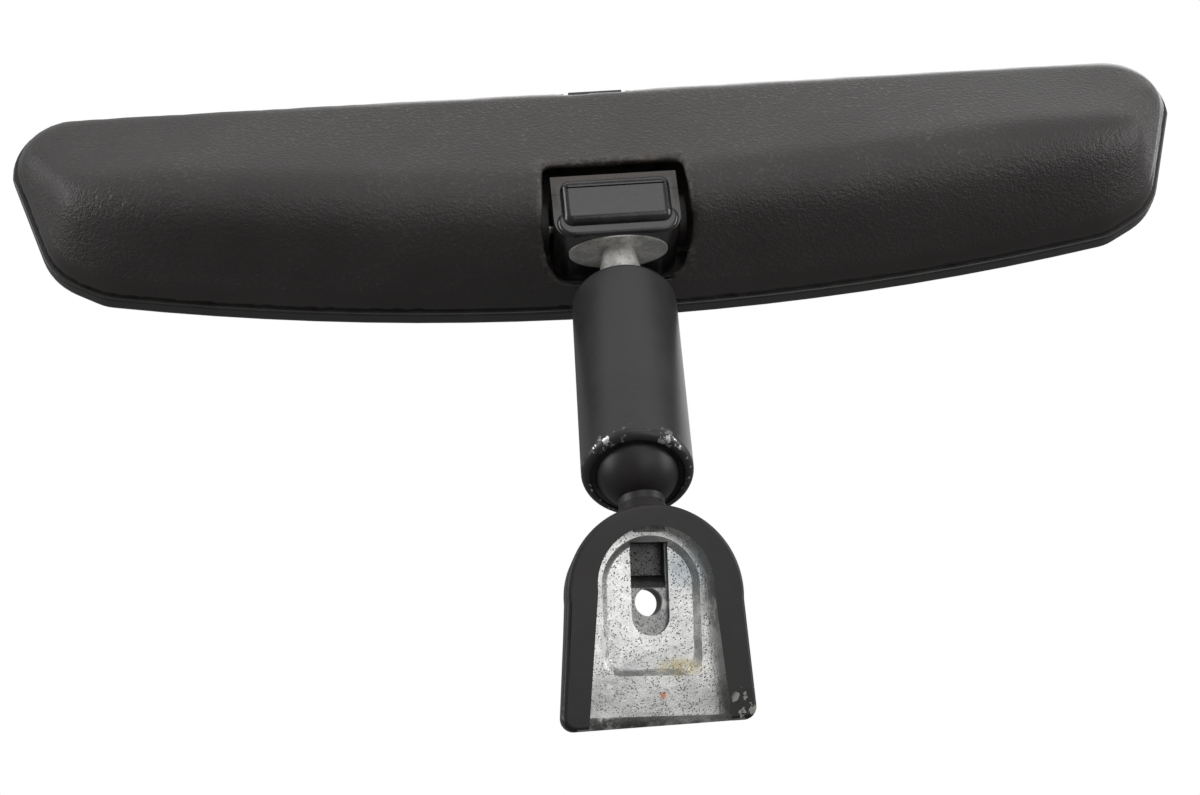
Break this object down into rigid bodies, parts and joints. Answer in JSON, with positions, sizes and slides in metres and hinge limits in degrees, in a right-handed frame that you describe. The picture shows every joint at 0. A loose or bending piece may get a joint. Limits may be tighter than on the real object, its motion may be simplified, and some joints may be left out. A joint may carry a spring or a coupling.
{
  "type": "interior rearview mirror",
  "caption": "Interior rearview mirror with an arched case, a day/night toggle, a double-ball arm and a wedge-channel foot for a windscreen button.",
  "frame": {"origin": "on the floor of the foot's shallow recess, which faces the windscreen button, on the centre line between the slot and the open end", "axes": "+Y leaves the foot towards the windscreen, +Z along the channel towards its open end, +X across the channel; the glass faces -Y"},
  "size_m": [0.2554, 0.1007, 0.1481],
  "materials": {
    "foot_paint": "satin black paint over zinc, bare in the channel",
    "tube_paint": "satin black paint",
    "seat_nylon": "greased black nylon",
    "cup_acetal": "natural acetal",
    "spring_steel": "oiled spring steel",
    "zinc": "bare cast zinc",
    "block_plastic": "glossy black moulding",
    "pin_steel": "ground steel",
    "pad_rubber": "soft black",
    "shell_plastic": "grained charcoal moulding",
    "bezel_plastic": "smooth satin black",
    "glass_mirror": "silvered prismatic glass",
    "backing_film": "dark adhesive film",
    "carrier_plastic": "grey glass-filled nylon",
    "lever_plastic": "black moulding"
  },
  "bodies": {
    "mount": {"mount_foot": "foot_paint"},
    "lower_ring": {"lower_seat_ring": "seat_nylon"},
    "lower_cup": {"lower_ball_cup": "cup_acetal"},
    "arm": {"arm_tube": "tube_paint", "arm_spring": "spring_steel", "lower_spring_washer": "pin_steel", "upper_spring_washer": "pin_steel"},
    "upper_cup": {"upper_ball_cup": "cup_acetal"},
    "upper_ring": {"upper_seat_ring": "seat_nylon"},
    "stud": {"ball_stud": "zinc", "stud_retainer": "pin_steel", "pivot_block": "block_plastic", "stop_pad": "pad_rubber"},
    "case": {"pivot_pin": "pin_steel", "rear_shell": "shell_plastic", "front_bezel": "bezel_plastic", "mirror_glass": "glass_mirror", "glass_backing": "backing_film", "carrier_plate": "carrier_plastic", "carrier_screw_left_low": "pin_steel", "carrier_screw_left_high": "pin_steel", "carrier_screw_right_low": "pin_steel", "carrier_screw_right_high": "pin_steel", "lever_pin": "pin_steel", "detent_spring": "spring_steel"},
    "lever": {"toggle_lever": "lever_plastic"}
  },
  "joints": [
    {"name": "lower_pitch", "type": "hinge", "parent": "mount", "child": "lower_ring", "pos_m": [0, -0.0071, -0.0368], "axis": [1, 0, 0], "range_deg": [-10.6, 55.4]},
    {"name": "lower_yaw", "type": "hinge", "parent": "lower_ring", "child": "lower_cup", "pos_m": [0, -0.0071, -0.0368], "axis": [0, 0.7408, -0.6717], "range_deg": [-4.5, 19.5]},
    {"name": "arm_twist", "type": "hinge", "parent": "lower_cup", "child": "arm", "pos_m": [0, -0.0071, -0.0368], "axis": [0.1305, -0.666, -0.7345], "continuous": true},
    {"name": "head_twist", "type": "hinge", "parent": "arm", "child": "upper_cup", "pos_m": [0.0064, -0.03973, -0.07279], "axis": [0.1305, -0.666, -0.7345], "continuous": true},
    {"name": "upper_yaw", "type": "hinge", "parent": "upper_cup", "child": "upper_ring", "pos_m": [0.0064, -0.03973, -0.07279], "axis": [0.1384, -0.7213, 0.6786], "range_deg": [-8.5, 15.5]},
    {"name": "upper_pitch", "type": "hinge", "parent": "upper_ring", "child": "stud", "pos_m": [0.0064, -0.03973, -0.07279], "axis": [0.9878, 0.1495, -0.0426], "range_deg": [-47.4, 7.6]},
    {"name": "day_night_flip", "type": "hinge", "parent": "stud", "child": "case", "pos_m": [0.0077, -0.05444, -0.0941], "axis": [0.9878, 0.1495, -0.0426], "range_deg": [-4.5, 0]},
    {"name": "lever_tilt", "type": "hinge", "parent": "case", "child": "lever", "pos_m": [0.00862, -0.06887, -0.12352], "axis": [0.9878, 0.1495, -0.0426], "range_deg": [0, 16]}
  ],
  "couplings": [
    {"joint": "lever_tilt", "follows": "day_night_flip", "ratio": -3.55}
  ]
}
